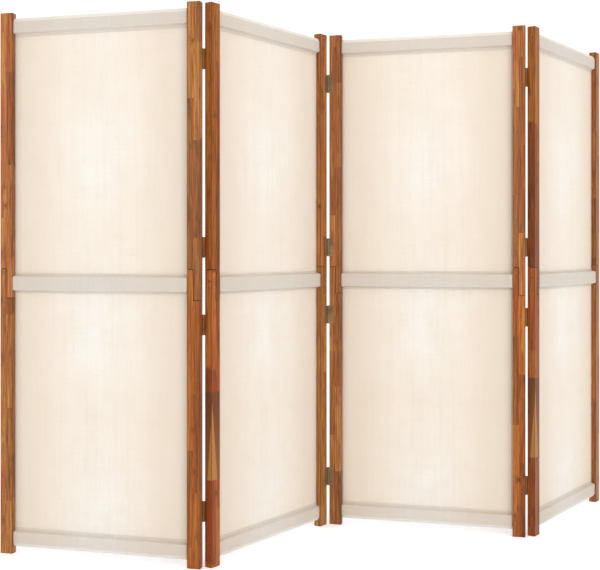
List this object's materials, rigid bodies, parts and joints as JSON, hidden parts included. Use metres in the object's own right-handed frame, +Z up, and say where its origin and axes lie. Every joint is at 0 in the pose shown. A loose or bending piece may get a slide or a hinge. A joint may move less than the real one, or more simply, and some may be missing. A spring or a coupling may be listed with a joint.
{
  "type": "folding screen",
  "caption": "Free-standing folding screen: hinged wooden frames in a zigzag, each stretched with a cloth sheet on rails through sewn sleeves, for dividing a room.",
  "frame": {"origin": "on the floor, under the middle of the screen's bounding box as it stands in its zigzag", "axes": "+X along the screen's length, to the right seen from the front; +Y from the front to the back; +Z up"},
  "size_m": [2.3782, 0.4238, 1.8],
  "materials": {
    "post_wood": "oiled reddish hardwood",
    "rail_wood": "planed hardwood",
    "cloth": "translucent linen-like weave",
    "hinge_brass": "antiqued",
    "steel_screws": "zinc plated"
  },
  "bodies": {
    "panel_1": {"panel_1_post_left_lower": "post_wood", "panel_1_post_left_upper": "post_wood", "panel_1_post_right_lower": "post_wood", "panel_1_post_right_upper": "post_wood", "panel_1_top_rail": "rail_wood", "panel_1_middle_rail": "rail_wood", "panel_1_bottom_rail": "rail_wood", "panel_1_cloth": "cloth", "panel_1_middle_sleeve": "cloth", "panel_1_rail_screws": "steel_screws", "panel_1_screw_plugs": "post_wood", "joint_1_2_leaves_left": "hinge_brass", "joint_1_2_screws_left": "hinge_brass", "joint_1_2_pins": "hinge_brass"},
    "panel_2": {"panel_2_post_left_lower": "post_wood", "panel_2_post_left_upper": "post_wood", "panel_2_post_right_lower": "post_wood", "panel_2_post_right_upper": "post_wood", "panel_2_top_rail": "rail_wood", "panel_2_middle_rail": "rail_wood", "panel_2_bottom_rail": "rail_wood", "panel_2_cloth": "cloth", "panel_2_middle_sleeve": "cloth", "panel_2_rail_screws": "steel_screws", "panel_2_screw_plugs": "post_wood", "joint_1_2_leaves_right": "hinge_brass", "joint_1_2_screws_right": "hinge_brass", "joint_2_3_leaves_left": "hinge_brass", "joint_2_3_screws_left": "hinge_brass", "joint_2_3_pins": "hinge_brass"},
    "panel_3": {"panel_3_post_left_lower": "post_wood", "panel_3_post_left_upper": "post_wood", "panel_3_post_right_lower": "post_wood", "panel_3_post_right_upper": "post_wood", "panel_3_top_rail": "rail_wood", "panel_3_middle_rail": "rail_wood", "panel_3_bottom_rail": "rail_wood", "panel_3_cloth": "cloth", "panel_3_middle_sleeve": "cloth", "panel_3_rail_screws": "steel_screws", "panel_3_screw_plugs": "post_wood", "joint_2_3_leaves_right": "hinge_brass", "joint_2_3_screws_right": "hinge_brass", "joint_3_4_leaves_left": "hinge_brass", "joint_3_4_screws_left": "hinge_brass", "joint_3_4_pins": "hinge_brass"},
    "panel_4": {"panel_4_post_left_lower": "post_wood", "panel_4_post_left_upper": "post_wood", "panel_4_post_right_lower": "post_wood", "panel_4_post_right_upper": "post_wood", "panel_4_top_rail": "rail_wood", "panel_4_middle_rail": "rail_wood", "panel_4_bottom_rail": "rail_wood", "panel_4_cloth": "cloth", "panel_4_middle_sleeve": "cloth", "panel_4_rail_screws": "steel_screws", "panel_4_screw_plugs": "post_wood", "joint_3_4_leaves_right": "hinge_brass", "joint_3_4_screws_right": "hinge_brass"}
  },
  "joints": [
    {"name": "fold_1_2", "type": "hinge", "parent": "panel_2", "child": "panel_1", "pos_m": [-0.59733, -0.18808, 0], "axis": [0, 0, -1], "range_deg": [-70.2, 109.8]},
    {"name": "fold_2_3", "type": "hinge", "parent": "panel_2", "child": "panel_3", "pos_m": [0, 0.18895, 0], "axis": [0, 0, -1], "range_deg": [-70.2, 109.8]},
    {"name": "fold_3_4", "type": "hinge", "parent": "panel_3", "child": "panel_4", "pos_m": [0.59733, -0.18808, 0], "axis": [0, 0, 1], "range_deg": [-70.2, 109.8]}
  ]
}
